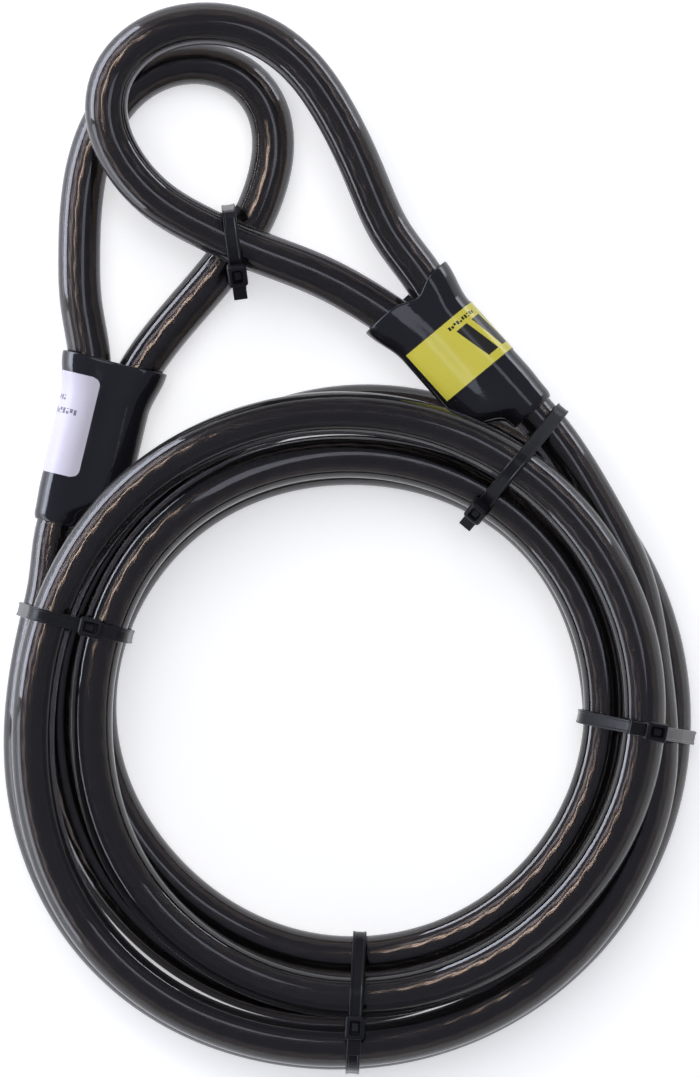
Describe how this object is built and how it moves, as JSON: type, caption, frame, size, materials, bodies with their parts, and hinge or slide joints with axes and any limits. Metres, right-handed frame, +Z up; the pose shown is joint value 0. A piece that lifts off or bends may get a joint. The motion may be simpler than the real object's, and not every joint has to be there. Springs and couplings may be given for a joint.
{
  "type": "looped security cable",
  "caption": "Sheathed wire-rope security cable with a booted eye at each end, hand-coiled flat and bound by cable ties.",
  "frame": {"origin": "centre of the overall footprint, on the surface the coil lies on", "axes": "+Z up, the coil's axis is vertical; +Y from the coil towards the two eyes; the left eye's boot is on -X"},
  "size_m": [0.2432, 0.376, 0.0542],
  "materials": {
    "smoky_pvc": "glossy smoky translucent extrusion",
    "galvanised_wire": "stranded galvanised wire, slightly brown through the sheath",
    "pressed_aluminium": "pressed, satin",
    "gloss_black_moulding": "glossy moulded",
    "white_paper": "coated paper sticker",
    "yellow_film": "printed film sticker",
    "black_nylon": "moulded nylon, semi-gloss"
  },
  "bodies": {
    "root": {"coil_sheath": "smoky_pvc", "eye_sheath_left": "smoky_pvc", "eye_sheath_right": "smoky_pvc", "wire_core": "galvanised_wire", "ferrule_left": "pressed_aluminium", "ferrule_right": "pressed_aluminium", "boot_left": "gloss_black_moulding", "boot_right": "gloss_black_moulding", "label_white": "white_paper", "label_yellow": "yellow_film", "tie_left": "black_nylon", "tie_bottom": "black_nylon", "tie_right": "black_nylon", "tie_top_right": "black_nylon", "tie_eyes": "black_nylon"}
  },
  "joints": []
}
